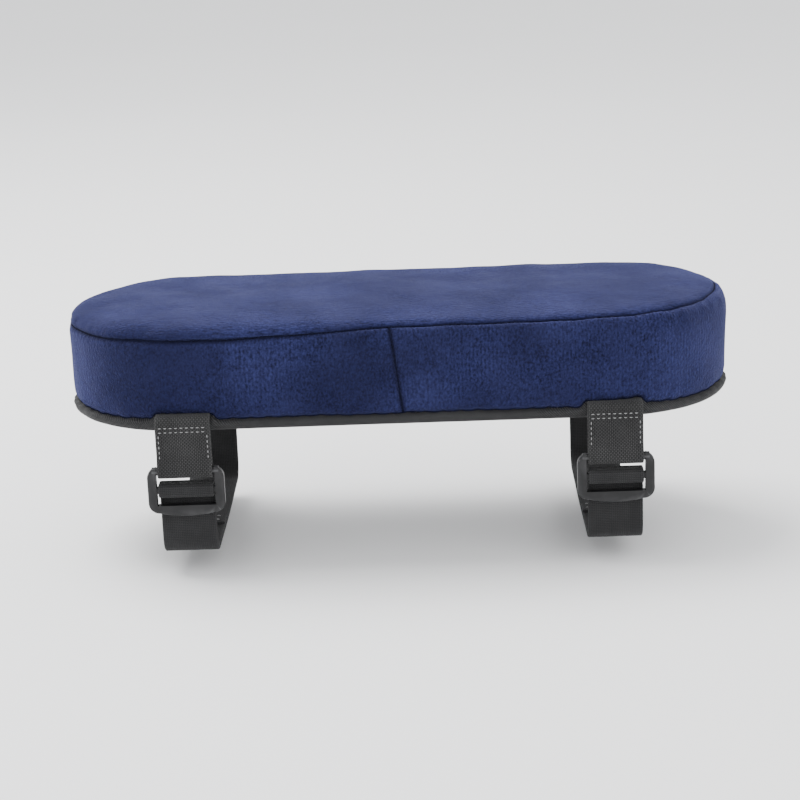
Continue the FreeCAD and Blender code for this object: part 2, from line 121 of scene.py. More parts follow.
# A facing keeps this share of its dip and sinks a little, and its edge by the zip folds under.
FACING_GIVE = 0.1
FACING_SINK = 0.1
FACING_LIP = (SEAM_DEPTH + 1, 2)
FOLD_LIP = (0.45, 0.4)

# The form that a cloth simulation blows out, and the waves and puckers laid over it.
FORM_CELL = 3
SEAM_SAMPLES = 600
VOXEL = 4
HELD_WITHIN = VOXEL * 0.8
FREE_BEYOND = VOXEL * 2
PUFF_INSET = 1.1
PUFF_LIMIT = 2.3
PUFF_PRESSURE = 4
PUFF_FRAMES = 20
PUFF_CAST = 8
SOFT_WAVE = 0.3
SOFT_WAVE_LENGTH = 26
FINE_WAVE = 0.4 * SOFT_WAVE
FINE_WAVE_LENGTH = 11
PUCKER = 0.5
PUCKER_REACH = 4.5
PUCKER_LENGTH = 9
PUCKER_UPRIGHT = 0.35

# The foam has pockets behind the webbing's sewn-in ends, and a channel behind the zip.
FOAM_CELL = 1.5
FOAM_INSET = 2
FOAM_UNDER_INSET = 1.2
FOAM_LIP = (2.2, 3.5)
FOAM_GRAIN = 0.12
FOAM_GRAIN_LENGTH = 3
WALL_DEPTH = 3
POCKET_DEPTH = 6
POCKET_FLOOR = (0.5, 2)
POCKET_TOP = (8.6, 10)
POCKET_EDGE = 13
CHANNEL_DEPTH = 1.4
CHANNEL_HALF = 11.5

TOP_FLAT = HALF_WIDTH - TOP_ROUND
SHOULDER_END = TOP_FLAT + TOP_ROUND * pi / 2
SHOULDER_Z = PAD_TOP - TOP_ROUND
WALL_END = SHOULDER_END + SHOULDER_Z - UNDERSIDE_Z - BOTTOM_ROUND
CORNER_END = WALL_END + BOTTOM_ROUND * pi / 2
PROFILE_END = CORNER_END + HALF_WIDTH - BOTTOM_ROUND
HALF_TURN = pi * HALF_WIDTH
BENDS = np.cumsum([0, CAP_X, HALF_TURN, 2 * CAP_X, HALF_TURN, CAP_X])
PERIMETER = 4 * CAP_X + 2 * HALF_TURN
FAR_RIGHT = PERIMETER / 2 - ZIP_HALF
FAR_LEFT = PERIMETER / 2 + ZIP_HALF


def profile(t):
    """Reach from the medial line, height, and outward and upward normal, t along from the top's middle."""
    shoulder = np.clip((t - TOP_FLAT) / TOP_ROUND, 0, pi / 2)
    corner = np.clip((t - WALL_END) / BOTTOM_ROUND, 0, pi / 2)
    reach = np.minimum(t, TOP_FLAT) + TOP_ROUND * np.sin(shoulder)
    reach = reach - BOTTOM_ROUND * (1 - np.cos(corner)) - np.maximum(t - CORNER_END, 0)
    height = PAD_TOP - TOP_ROUND * (1 - np.cos(shoulder)) - BOTTOM_ROUND * np.sin(corner)
    height = height - np.clip(t - SHOULDER_END, 0, WALL_END - SHOULDER_END)
    return reach, height, np.sin(shoulder + corner), np.cos(shoulder + corner)


def outline(s):
    """Medial point and outward direction, s round the pad from the near side's middle towards +X."""
    s = np.mod(s, PERIMETER)
    turn = np.interp(s, BENDS, [0, 0, pi, pi, 2 * pi, 2 * pi])
    centre = np.interp(s, BENDS, [0, CAP_X, CAP_X, -CAP_X, -CAP_X, 0])
    return centre, np.sin(turn), -np.cos(turn)


def pad_surface(s, t, out=0):
    """Points on the pad's plain form, moved outwards, and the outward normals there."""
    centre, east, north = outline(s)
    reach, height, outward, upward = profile(t)
    normal = np.stack([east * outward, north * outward, upward + 0 * s], -1)
    flat = np.stack([centre + reach * east, reach * north, height + 0 * s], -1)
    return flat + np.asarray(out)[..., None] * normal, normal


def rough(points, length, seed):
    """Smooth noise from about -1 to 1 with bumps about this long."""
    shape = points.shape[:-1]
    flat = points.reshape(-1, 3) / length + seed * NOISE_STEP
    values = [noise.noise(Vector(p)) for p in flat]
    return 2 * np.array(values).reshape(shape)


def smooth(x, start, end):
    """From 0 at the start to 1 at the end, with no corner at either."""
    w = np.clip((x - start) / (end - start), 0, 1)
    return w * w * (3 - 2 * w)


def wall_point(s):
    """Points along the shoulder's lower edge."""
    return pad_surface(s, np.full_like(s, SHOULDER_END))[0]


def at_height(height):
    """How far along the profile the upright wall has this height."""
    return SHOULDER_END + SHOULDER_Z - height


def top_seam(s):
    """The seam sits under the shoulder at the left end and climbs onto the top towards the right end."""
    place = wall_point(s)
    climb = sum(rise * smooth(place[..., 0], start, end) for rise, start, end in SEAM_RISES)
    return at_height(SHOULDER_Z - SEAM_DROP) - climb + SEAM_WANDER * rough(place, SEAM_WANDER_LENGTH, 1)


def off_strap(points):
    """How far along X each point is from the middle of the nearer strap."""
    return np.abs(np.abs(points[..., 0]) - STRAP_X)


def webbing_lift(s, height):
    """How far a seam opens where webbing of this height comes out of it."""
    start, end = WEB_WIDTH / 2 + np.array(OPENING_EDGE)
    return height * (1 - smooth(off_strap(wall_point(s)), start, end))


def band_foot(s):
    """Lower edge of the band: it rises over the webbing and scallops between stitches."""
    return sewn_line(s) - seam_opening(s)


def rim_head(s):
    """Upper edge of the grip fabric's rim: it meets the band except behind the webbing."""
    behind, clear = WEB_WIDTH / 2 + np.array(RIM_STEP)
    return sewn_line(s) - seam_opening(s) * smooth(off_strap(wall_point(s)), behind, clear)


def sewn_line(s):
    """The bottom seam where no webbing passes through it, scalloped between stitches."""
    scallop = SEWN_SCALLOP * np.cos(pi * s / STITCH_PITCH)
    return at_height(RIM_TOP_Z) + scallop + SEWN_WANDER * rough(wall_point(s), SEWN_WANDER_LENGTH, 2)


def seam_opening(s):
    """The near side's tabs are doubled webbing, and the straps on the far side single."""
    near = wall_point(s)[..., 1] < 0
    return np.where(near, webbing_lift(s, 2 * WEB_THICKNESS), webbing_lift(s, WEB_THICKNESS))


def level_line(t):
    """A line round the pad at the same t everywhere."""
    return lambda s: t + 0 * s


def seam_lean(s, t):
    """The band's near seam isn't quite upright: how far cloth beside it is drawn along at each height."""
    s = np.mod(s, PERIMETER)
    beside = np.minimum(s, PERIMETER - s)
    fall = (t - SHOULDER_END) / (at_height(RIM_TOP_Z) - SHOULDER_END) - 0.5
    return BAND_SEAM_LEAN * fall * np.exp(-((beside / BAND_SEAM_REACH) ** 2))


# ---- Mesh helpers ----


def in_scene(name, data):
    """A new object with this mesh, lamp or camera."""
    thing = bpy.data.objects.new(name, data)
    bpy.context.scene.collection.objects.link(thing)
    return thing


def mesh_piece(name, points, faces, material, smooth_angle=180):
    """A mesh of these points in millimetres, however they are nested, with smooth faces."""
    mesh = bpy.data.meshes.new(name)
    mesh.from_pydata((np.reshape(points, (-1, 3)) * MM).tolist(), [], faces)
    mesh.polygons.foreach_set("use_smooth", [True] * len(mesh.polygons))
    mesh.set_sharp_from_angle(angle=math.radians(smooth_angle))
    if material:
        mesh.materials.append(material)
    return in_scene(name, mesh)


def grid_faces(rows, columns, ring=False, tube=False, start=0):
    """Quads over rows by columns of points. A ring's last row, and a tube's last column, meet its first."""
    faces = []
    for i in range(rows if ring else rows - 1):
        for j in range(columns if tube else columns - 1):
            k, m = (i + 1) % rows, (j + 1) % columns
            quad = (i, j), (i, m), (k, m), (k, j)
            faces.append(tuple(start + row * columns + column for row, column in quad))
    return faces


def tube_faces(rows, columns, start=0):
    """Quads along a tube of rings, and a face over each end."""
    faces = [face[::-1] for face in grid_faces(rows, columns, tube=True, start=start)]
    last = start + (rows - 1) * columns
    return faces + [tuple(range(start, start + columns)), tuple(range(last, last + columns))[::-1]]


def weld(piece):
    """Joins points that coincide, as along the medial line."""
    work = bmesh.new()
    work.from_mesh(piece.data)
    bmesh.ops.remove_doubles(work, verts=work.verts, dist=WELD * MM)
    work.to_mesh(piece.data)
    work.free()


def applied(piece):
    """The piece's mesh with its modifiers applied and removed."""
    graph = bpy.context.evaluated_depsgraph_get()
    mesh = bpy.data.meshes.new_from_object(piece.evaluated_get(graph))
    piece.modifiers.clear()
    piece.data = mesh
    return mesh


def graded(length, start, end):
    """Positions along a length, close together next to the ends that are seams."""
    head = LIP_STEPS if start else np.zeros(1)
    tail = length - (LIP_STEPS[::-1] if end else np.zeros(1))
    count = max(1, round((tail[0] - head[-1]) / CELL))
    return np.concatenate([head, np.linspace(head[-1], tail[0], count + 1)[1:-1], tail])


def ring_stations():
    """Stations all the way round, level with each other on the two long sides."""
    runs = [np.linspace(a, b, round((b - a) / CELL) + 1)[:-1] for a, b in zip(BENDS, BENDS[1:])]
    return np.concatenate(runs)


# ---- Foam pressing the cover out ----


def closed_grid(s, cell):
    """These stations by places along the whole profile."""
    return np.meshgrid(s, np.linspace(0, PROFILE_END, round(PROFILE_END / cell) + 1), indexing="ij")


def seam_tree():
    """Points along the two long seams, for pinning the cloth there."""
    s = np.linspace(0, PERIMETER, SEAM_SAMPLES)
    lines = [pad_surface(s, seam(s), -PUFF_INSET)[0] for seam in (top_seam, band_foot)]
    points = np.concatenate(lines)
    tree = KDTree(len(points))
    for i, point in enumerate(points):
        tree.insert(point, i)
    tree.balance()
    return tree


def puffed_form():
    """Cloth over the foam, blown out against its seams, as a tree for ray casts."""
    grid_s, grid_t = closed_grid(ring_stations()[::FORM_CELL], FORM_CELL)
    points = pad_surface(grid_s, grid_t, -PUFF_INSET)[0]
    piece = mesh_piece("puffed", points, grid_faces(*grid_s.shape, ring=True), None)
    weld(piece)
    remesh = piece.modifiers.new("voxels", "REMESH")
    remesh.mode = "VOXEL"
    remesh.voxel_size = VOXEL * MM
    mesh = applied(piece)
    start = np.array([v.co for v in mesh.vertices]) / MM
    tree = seam_tree()
    pins = piece.vertex_groups.new(name="pins")
    for i, point in enumerate(start):
        held = 1 - smooth(tree.find(point)[2], HELD_WITHIN, FREE_BEYOND)
        if point[2] < UNDERSIDE_Z + 2 * PUFF_INSET:
            held = 1
        pins.add([i], float(held), "REPLACE")
    cloth = piece.modifiers.new("cloth", "CLOTH")
    cloth.settings.vertex_group_mass = "pins"
    cloth.settings.use_pressure = True
    cloth.settings.uniform_pressure_force = PUFF_PRESSURE
    cloth.settings.effector_weights.gravity = 0
    cloth.settings.quality = 6
    cloth.point_cache.frame_start = 1
    cloth.point_cache.frame_end = PUFF_FRAMES
    for step in range(1, PUFF_FRAMES + 1):
        bpy.context.scene.frame_set(step)
    mesh = applied(piece)
    moved = np.array([v.co for v in mesh.vertices]) / MM - start
    size = np.linalg.norm(moved, axis=1, keepdims=True)
    capped = PUFF_LIMIT * np.tanh(size / PUFF_LIMIT)
    final = start + moved * capped / np.maximum(size, 1e-9)
    mesh.vertices.foreach_set("co", (final * MM).ravel())
    piece.modifiers.new("finer", "SUBSURF").levels = 1
    mesh = applied(piece)
    form = BVHTree.FromPolygons([v.co[:] for v in mesh.vertices], [p.vertices[:] for p in mesh.polygons])
    bpy.data.objects.remove(piece)
    bpy.context.scene.frame_set(1)
    return form


def puff(points, normals, form):
    """How far the blown-out form stands outside the plain one at each point."""
    if form is None:
        return 0.5 * PUFF_INSET + np.zeros(points.shape[:-1])
    reach = PUFF_CAST * MM
    out = []
    for point, normal in zip(points.reshape(-1, 3) * MM, normals.reshape(-1, 3)):
        hit = form.ray_cast(Vector(point + normal * reach), Vector(-normal), 2 * reach)
        out.append((reach - hit[3]) / MM if hit[0] is not None else 0)
    return np.array(out).reshape(points.shape[:-1])


# ---- Cover pieces ----


def lip(distance, depth=SEAM_DEPTH, reach=SEAM_REACH):
    """How deep cloth turns in, this far from its seam."""
    return depth * np.exp(-((np.maximum(distance, 0) / reach) ** LIP_FALL))


def cover_relief(s, points, gaps):
    """Seam grooves, stitch dimples, puckers and soft waves, as a distance outwards."""
    nearest = np.minimum.reduce(gaps)
    dimple = STITCH_DIMPLE * np.cos(2 * pi * s / STITCH_PITCH) * np.exp(-((nearest / DIMPLE_REACH) ** 2))
    drawn = rough(points * [1, 1, PUCKER_UPRIGHT], PUCKER_LENGTH, 3)
    pucker = PUCKER * np.exp(-nearest / PUCKER_REACH) * drawn
    wave = SOFT_WAVE * rough(points, SOFT_WAVE_LENGTH, 4) + FINE_WAVE * rough(points, FINE_WAVE_LENGTH, 5)
    groove = np.maximum.reduce([lip(gap) for gap in gaps])
    return pucker + wave - groove - dimple


def lines_between(s, head, foot, seams):
    """Stations and places on the profile over a grid from one line to the other, and both lines."""
    start = head(s)[:, None]
    end = foot(s)[:, None]
    mean = float(np.mean(end - start))
    along = graded(mean, *seams) / mean
    return np.repeat(s[:, None], len(along), 1), start + along[None, :] * (end - start), start, end


def cover_cloth(name, points, material, stored, thickness, nodes, ring=True):
    """A grid of points as one cloth on the pad, with the values that its material reads."""
    piece = mesh_piece(name, points, grid_faces(*points.shape[:2], ring=ring), material)
    for attribute, values in stored.items():
        store(piece, attribute, values.ravel())
    weld(piece)
    if thickness:
        thicken(piece, thickness)
    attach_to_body(piece, "root")
    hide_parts(*nodes)
    return piece


def cover_panel(name, s_span, t_span, nodes, material, form, sewn=(True, True), fold=None):
    """Part of the cover between two lines round the pad, and between two stations or all the way round.

    sewn says whether each of the two lines is a seam, and fold which is a folded edge by the zip."""
    ring = s_span is None
    s = ring_stations() if ring else s_span[0] + graded(s_span[1] - s_span[0], True, True)
    grid_s, grid_t, start, end = lines_between(s, *t_span, sewn)
    grid_s = grid_s + (0 if ring else seam_lean(grid_s, grid_t))
    points, normals = pad_surface(grid_s, grid_t)
    far = np.full_like(grid_t, HALF_LENGTH)
    gaps = [grid_t - start if sewn[0] else far, end - grid_t if sewn[1] else far]
    if not ring:
        gaps += [gap[:, None] + 0 * grid_t for gap in (s - s_span[0], s_span[1] - s)]
    if fold is not None:
        from_fold = gaps[fold]
        gaps[fold] = far
    nearest = np.minimum.reduce(gaps)
    out = puff(points, normals, form) + cover_relief(grid_s, points, gaps)
    if fold is not None:
        out = np.maximum(out, FACING_GIVE * out - FACING_SINK - lip(nearest, *FACING_LIP))
        out = out - lip(from_fold, *FOLD_LIP)
    points = pad_surface(grid_s, grid_t, out)[0]
    stored = {"seam_gap": nearest, "round": grid_s}
    return cover_cloth(name, points, material, stored, PLUSH_THICKNESS, nodes, ring)


# Rays at the zip start this far out and end inside the pad's far wall, in metres.
RAY_FROM_Y = 1.0
RAY_TO_Y = 0.04


def cloth_front(pieces):
    """The outer faces of these pieces, as a tree for ray casts."""
    places = []
    faces = []
    for piece in pieces:
        start = len(places)
        places += [vertex.co[:] for vertex in piece.data.vertices]
        faces += [tuple(start + i for i in face.vertices) for face in piece.data.polygons]
    return BVHTree.FromPolygons(places, faces)


def front_at(front, points, otherwise):
    """How far out along +Y the cloth's front is at each place, or otherwise where there is none."""
    out = []
    for x, _, z in points.reshape(-1, 3) * MM:
        hit = front.ray_cast(Vector((x, RAY_FROM_Y, z)), Vector((0, -1, 0)), RAY_FROM_Y - RAY_TO_Y)
        out.append(hit[0].y / MM if hit[0] is not None else otherwise)
    return np.array(out).reshape(points.shape[:-1])


def thicken(piece, thickness):
    shell = piece.modifiers.new("thickness", "SOLIDIFY")
    shell.thickness = thickness * MM
    shell.offset = -1


def seam_depth(s, t, form):
    """How far out the two cloths meet along a seam, which is negative."""
    points, normals = pad_surface(s, t)
    return puff(points, normals, form) + cover_relief(s, points, [np.zeros_like(s)])


def seam_thread_and_shade(name, s, t, form, material, closed=False):
    """Line of stitching drawn down between the two cloths of a seam, its dark colour partly painted shade.
    """
    line = pad_surface(s, t, seam_depth(s, t, form) + SEAM_THREAD_RISE)[0]
    round_tube(name, line, SEAM_THREAD, [], material, closed)


def seams(material, form):
    # Dark thread along every seam: stitching, darkened as painted shade for the seams' grooves.
    ring = ring_stations()
    seam_thread_and_shade("top_seam", ring, top_seam(ring), form, material, True)
    seam_thread_and_shade("bottom_seam", ring, band_foot(ring), form, material, True)
    for name, s in (("near", 0.0), ("right", FAR_RIGHT), ("left", FAR_LEFT)):
        head, foot = (float(line(np.array([s]))[0]) for line in (top_seam, band_foot))
        t = np.linspace(head, foot, round(foot - head) + 1)
        level = np.full_like(t, s)
        seam_thread_and_shade("band_seam_" + name, level + seam_lean(level, t), t, form, material)


def grip_panel(material, form):
    """Underside fabric: flat where the dots stand, its edge turned up into a slightly wavy rim."""
    s = ring_stations()
    grid_s, grid_t, start, _ = lines_between(s, rim_head, level_line(PROFILE_END), (True, False))
    points = pad_surface(grid_s, grid_t)[0]
    on_rim = 1 - smooth(grid_t, WALL_END, CORNER_END)
    wave = on_rim * (RIM_WAVE * rough(points, RIM_WAVE_LENGTH, 6) - RIM_SINK)
    tuck = lip(grid_t - start, *RIM_LIP)
    out = wave * (1 - tuck) + seam_depth(s, start[:, 0], form)[:, None] * tuck
    points = pad_surface(grid_s, grid_t, out)[0]
    stored = {"round": grid_s, "on_rim": 1 - smooth(grid_t, WALL_END + RIM_FADE, CORNER_END - RIM_FADE)}
    cover_cloth("grip_fabric", points, material, stored, GRIP_THICKNESS, ["bottom_panel"])


def foam_block(material, form):
    """Foam inside the cover, pushed in behind the zip and round the webbing's sewn-in ends."""
    s = ring_stations()
    grid_s, grid_t = closed_grid(s, FOAM_CELL)
    points, normals = pad_surface(grid_s, grid_t)
    x, y, z = np.moveaxis(points, -1, 0)
    seam_gaps = [np.abs(grid_t - seam(s)[:, None]) for seam in (top_seam, band_foot)]
    near_gap = np.where(y < 0, np.abs(x), HALF_LENGTH)
    far_gap = np.where(y > 0, np.abs(np.abs(x) - ZIP_HALF), HALF_LENGTH)
    on_wall = smooth(grid_t, TOP_FLAT, SHOULDER_END) * (1 - smooth(grid_t, WALL_END, CORNER_END))
    upright = np.where(on_wall > 0, np.minimum(near_gap, far_gap), HALF_LENGTH)
    under = smooth(grid_t, WALL_END, CORNER_END)
    inset = FOAM_INSET - np.where(under < 1, puff(points, normals, form), 0) * (1 - under)
    inset = inset + lip(np.minimum.reduce(seam_gaps + [upright]), *FOAM_LIP)
    inset = inset - under * (FOAM_INSET - FOAM_UNDER_INSET)
    wall = smooth(z, *(UNDERSIDE_Z + np.array(POCKET_FLOOR)))
    wall = wall * (np.abs(y) > HALF_WIDTH - WALL_DEPTH) * (1 - smooth(z, *POCKET_TOP))
    pocket = wall * (1 - smooth(off_strap(points), WEB_WIDTH / 2 + 1, POCKET_EDGE))
    from_zip = np.maximum(np.abs(z - ZIP_Z) - CHANNEL_HALF, np.abs(x) - ZIP_HALF)
    channel = (y > HALF_WIDTH - WALL_DEPTH) * (1 - smooth(from_zip, -1, 1))
    sink = np.maximum(inset + POCKET_DEPTH * pocket, inset + CHANNEL_DEPTH * channel)
    grain = FOAM_GRAIN * rough(points, FOAM_GRAIN_LENGTH, 7)
    points = pad_surface(grid_s, grid_t, grain - sink)[0]
    return cover_cloth("foam", points, material, {}, None, ["foam_core"])


# ---- Webbing ----

TAB_LOW, TAB_HIGH = box_mm("right_tab")
ROOT_LOW, ROOT_HIGH = box_mm("right_strap_root")
NEAR_LEG_LOW, NEAR_LEG_HIGH = box_mm("right_strap_near_leg_upper")
TAIL_LOW, TAIL_HIGH = box_mm("right_tail_upper")
WRAP_LOW, WRAP_HIGH = box_mm("right_strap_wrap")
BASE_LOW, BASE_HIGH = box_mm("right_strap_base")
TAIL_END_LOW, TAIL_END_HIGH = box_mm("right_tail_end")
WEB_WIDTH = ROOT_HIGH[0] - ROOT_LOW[0]
WEB_THICKNESS = NEAR_LEG_HIGH[1] - NEAR_LEG_LOW[1]
HALF_WEB = WEB_THICKNESS / 2
WEB_EASE = 0.06
SLIDER_Y = (SLIDER_LOW[1] + SLIDER_HIGH[1]) / 2
INNER_BAR_RADIUS = 1.5
INNER_BAR_Z = SLIDER_HIGH[2] - INNER_BAR_RADIUS
FOLD_RADIUS = INNER_BAR_Z - TAB_LOW[2] - HALF_WEB
TAB_NECK = 5.5
LEG_Y = (NEAR_LEG_LOW[1] + NEAR_LEG_HIGH[1]) / 2
TAIL_Y = (TAIL_LOW[1] + TAIL_HIGH[1]) / 2
FAR_LEG_Y = ROOT_HIGH[1] - HALF_WEB
WRAP_TOP_Z = WRAP_HIGH[2] - HALF_WEB
WRAP_END_Z = NEAR_LEG_HIGH[2]
LEG_SPLIT_Z = NEAR_LEG_LOW[2]
BASE_Z = BASE_LOW[2] + HALF_WEB
LOOP_TURN_Z = BASE_HIGH[2]
LOOP_CORNER = LOOP_TURN_Z - BASE_Z
TAIL_END_Z = TAIL_END_LOW[2] + HALF_WEB
CENTRE_BAR_HEIGHT = 2.9
CENTRE_BAR_Z = (2 * WRAP_TOP_Z - WEB_THICKNESS - CENTRE_BAR_HEIGHT) / 2
SEAM_BEND = 0.75
WRAP_BEND = 1
HEM_LENGTH = 8
WEB_STEP = 0.7
UPPER_STEP = 0.4
WRAP_STEP = 0.5
SELVEDGE = 0.42
FLAT_POINTS = 13
SELVEDGE_STEPS = 6
EDGE_ANGLE = 60
TURN_STEPS = 24
HEM_STEPS = 9
TOO_CLOSE = 1e-4

# The far leg bows and twists a little, and the base sags. The far side begins in this stretch of Y.
FAR_SIDE = (20, 40)
FAR_LEG_BOW = 0.9
FAR_LEG_TWIST = 0.03
BOW_TOP_Z = RIM_TOP_Z - 6
BASE_SAG = 0.7


def unit(vectors):
    return vectors / np.linalg.norm(vectors, axis=-1, keepdims=True)


def arc(y, z, radius, turns):
    """Points in YZ at these angles round a centre."""
    return np.stack([y + radius * np.cos(turns), z + radius * np.sin(turns)], -1)


def route(points, radii, step=WEB_STEP):
    """A polyline in YZ with each corner rounded to its radius, as evenly spaced points."""
    line = [np.array(points[0], float)]
    for before, corner, after, radius in zip(points, points[1:], points[2:], radii):
        corner = np.array(corner, float)
        come = unit(before - corner)
        leave = unit(after - corner)
        half_turn = math.acos(float(np.clip(come @ leave, -1, 1))) / 2
        centre = corner + unit(come + leave) * radius / math.sin(half_turn)
        enter = corner + come * radius / math.tan(half_turn)
        sweep = pi - 2 * half_turn
        side = math.copysign(1, come[0] * leave[1] - come[1] * leave[0])
        count = max(4, round(radius * sweep / (step / 2)))
        arm = enter - centre
        for angle in np.linspace(0, -sweep * side, count + 1):
            cos, sin = math.cos(angle), math.sin(angle)
            line.append(centre + np.array([cos * arm[0] - sin * arm[1], sin * arm[0] + cos * arm[1]]))
    line.append(np.array(points[-1], float))
    return even(np.array(line), step)


def even(line, step):
    """The same line with no long stretch between points, and none doubled."""
    out = [line[0]]
    for point in line[1:]:
        gap = np.linalg.norm(point - out[-1])
        if gap < TOO_CLOSE:
            continue
        count = max(1, round(gap / step))
        out += [out[-1] + (point - out[-1]) * k / count for k in range(1, count + 1)]
    return np.array(out)


def web_section(width, thickness):
    """Flat section with rounded selvedges, counter-clockwise, as (across, out) pairs."""
    edge = thickness * SELVEDGE
    flat = np.linspace(-width / 2 + edge, width / 2 - edge, FLAT_POINTS)
    bend = np.linspace(-pi / 2, pi / 2, SELVEDGE_STEPS)[1:-1]
    lower = np.stack([flat, np.full(FLAT_POINTS, -thickness / 2)], -1)
    right = np.stack([flat[-1] + edge * np.cos(bend), thickness / 2 * np.sin(bend)], -1)
    upper = np.stack([flat[::-1], np.full(FLAT_POINTS, thickness / 2)], -1)
    return np.concatenate([lower, right, upper, right[::-1] * [-1, 1]])


def drape(points, x):
    """Slack in the strap: the far leg bows out and the base sags, with nothing at the ends."""
    y, z = points[..., 1], points[..., 2]
    far = smooth(y, *FAR_SIDE)
    climb = np.clip((z - LOOP_TURN_Z) / (BOW_TOP_Z - LOOP_TURN_Z), 0, 1)
    bow = far * FAR_LEG_BOW * np.sin(pi * climb) ** 2
    twist = far * np.sin(pi * climb) ** 2 * FAR_LEG_TWIST * (points[..., 0] - x) * np.sign(x)
    level = 1 - smooth(z, BASE_Z + 2, LOOP_TURN_Z)
    span = np.clip((y - LEG_Y) / (FAR_LEG_Y - LEG_Y), 0, 1)
    sag = level * BASE_SAG * np.sin(pi * span) ** 2
    return points + np.stack([0 * bow, bow + twist, -sag], -1)


def web_piece(node, line, x, start, material):
    """Webbing swept along a YZ line at this x, with lengths along and across it kept for its weave."""
    section = web_section(WEB_WIDTH, WEB_THICKNESS - 2 * WEB_EASE)
    ahead = unit(np.gradient(line, axis=0))
    out = np.stack([ahead[:, 1], -ahead[:, 0]], -1)
    yz = line[:, None, :] + section[None, :, 1:2] * out[:, None, :]
    across = np.repeat(section[None, :, 0], len(line), 0)
    points = drape(np.concatenate([x + across[..., None], yz], -1), x)
    piece = mesh_piece(node + "_web", points, tube_faces(*points.shape[:2]), material, EDGE_ANGLE)
    lengths = start + np.concatenate([[0], np.cumsum(np.linalg.norm(np.diff(line, axis=0), axis=1))])
    store(piece, "along", np.repeat(lengths, len(section)))
    store(piece, "across", across.ravel())
    return piece, lengths[-1]


def store(piece, name, values):
    attribute = piece.data.attributes.new(name, "FLOAT", "POINT")
    attribute.data.foreach_set("value", np.asarray(values, np.float32))


def tab_line():
    """Doubled webbing from inside the seam, out, down, round the inner bar and back up inside."""
    inside_y = TAB_HIGH[1]
    inner_y = SLIDER_Y + HALF_WEB
    outer_y = SLIDER_Y - HALF_WEB
    inner_z = RIM_TOP_Z + HALF_WEB
    outer_z = inner_z + WEB_THICKNESS
    neck_z = INNER_BAR_Z + TAB_NECK
    reach = math.hypot(HALF_WEB, TAB_NECK)
    angle = math.atan2(TAB_NECK, HALF_WEB) - math.acos(FOLD_RADIUS / reach)
    turns = np.linspace(angle, -pi - angle, TURN_STEPS)
    fold = arc(SLIDER_Y, INNER_BAR_Z, FOLD_RADIUS, turns)
    bend = TAB_HIGH[2] - outer_z - HALF_WEB + SEAM_BEND
    down = route([(inside_y, inner_z), (inner_y, inner_z), (inner_y, neck_z)], [bend])
    up = route([(outer_y, neck_z), (outer_y, outer_z), (inside_y, outer_z)], [bend + WEB_THICKNESS])
    return even(np.concatenate([down, fold, up]), WEB_STEP)


def strap_lines():
    """The strap's stretches in order from the far seam to the tail's hem, one per CAD node."""
    wrap_low = CENTRE_BAR_Z - (WRAP_TOP_Z - CENTRE_BAR_Z)
    outside = WRAP_LOW[1] + HALF_WEB
    inner_corner = TAIL_END_Z - BASE_Z
    hem_y = TAIL_END_HIGH[1] - HALF_WEB
    hem_z = TAIL_END_Z + WEB_THICKNESS
    root = [(ROOT_LOW[1], RIM_TOP_Z + HALF_WEB), (FAR_LEG_Y, RIM_TOP_Z + HALF_WEB), (FAR_LEG_Y, ROOT_LOW[2])]
    base = [(FAR_LEG_Y, LOOP_TURN_Z), (FAR_LEG_Y, BASE_Z), (LEG_Y, BASE_Z), (LEG_Y, LOOP_TURN_Z)]
    wrap = [
        (LEG_Y, WRAP_END_Z), (LEG_Y, wrap_low), (outside, wrap_low), (outside, WRAP_TOP_Z),
        (TAIL_Y, WRAP_TOP_Z), (TAIL_Y, WRAP_END_Z),
    ]
    tail = [(TAIL_Y, LOOP_TURN_Z), (TAIL_Y, TAIL_END_Z), (hem_y, TAIL_END_Z)]
    turns = np.linspace(-pi / 2, pi / 2, HEM_STEPS)
    fold = arc(hem_y, TAIL_END_Z + HALF_WEB, HALF_WEB, turns)
    hem_end = np.array([[hem_y - HEM_LENGTH, hem_z]])
    tail_end = even(np.concatenate([route(tail, [LOOP_CORNER - inner_corner]), fold, hem_end]), WEB_STEP)
    return [
        ("strap_root", route(root, [SEAM_BEND])),
        ("strap_far_leg", route([(FAR_LEG_Y, ROOT_LOW[2]), (FAR_LEG_Y, LOOP_TURN_Z)], [])),
        ("strap_base", route(base, [LOOP_CORNER] * 2)),
        ("strap_near_leg_lower", route([(LEG_Y, LOOP_TURN_Z), (LEG_Y, LEG_SPLIT_Z)], [])),
        ("strap_near_leg_upper", route([(LEG_Y, LEG_SPLIT_Z), (LEG_Y, WRAP_END_Z)], [], UPPER_STEP)),
        ("strap_wrap", route(wrap, [WRAP_BEND] * 4, WRAP_STEP)),
        ("tail_upper", route([(TAIL_Y, WRAP_END_Z), (TAIL_Y, LEG_SPLIT_Z)], [], UPPER_STEP)),
        ("tail_lower", route([(TAIL_Y, LEG_SPLIT_Z), (TAIL_Y, LOOP_TURN_Z)], [])),
        ("tail_end", tail_end),
    ]


def attach(piece, node, side):
    """Hides a stretch's CAD node and ties the stretch to the one body it follows; a stretch between two
    bodies is only baked in place, with no body.
    """
    slider, loop = side + "_slider", side + "_loop"
    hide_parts(side + "_" + node)
    if node in ("tab", "strap_root"):
        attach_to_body(piece, "root")
    elif node == "strap_wrap":
        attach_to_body(piece, slider)
    elif node in ("strap_base", "tail_end"):
        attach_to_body(piece, loop)
    elif node == "strap_far_leg":
        join_bodies(piece)
    elif node in ("strap_near_leg_lower", "tail_lower"):
        join_bodies(piece)
    else:
        join_bodies(piece)


def join_bodies(piece):
    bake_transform(piece)


def straps(tab_material, material):
    for side, x in SIDES:
        tab, _ = web_piece(side + "_tab", tab_line(), x, 0, tab_material)
        attach(tab, "tab", side)
        start = 0
        for node, line in strap_lines():
            piece, start = web_piece(side + "_" + node, line, x, start, material)
            attach(piece, node, side)


# ---- Stitching ----

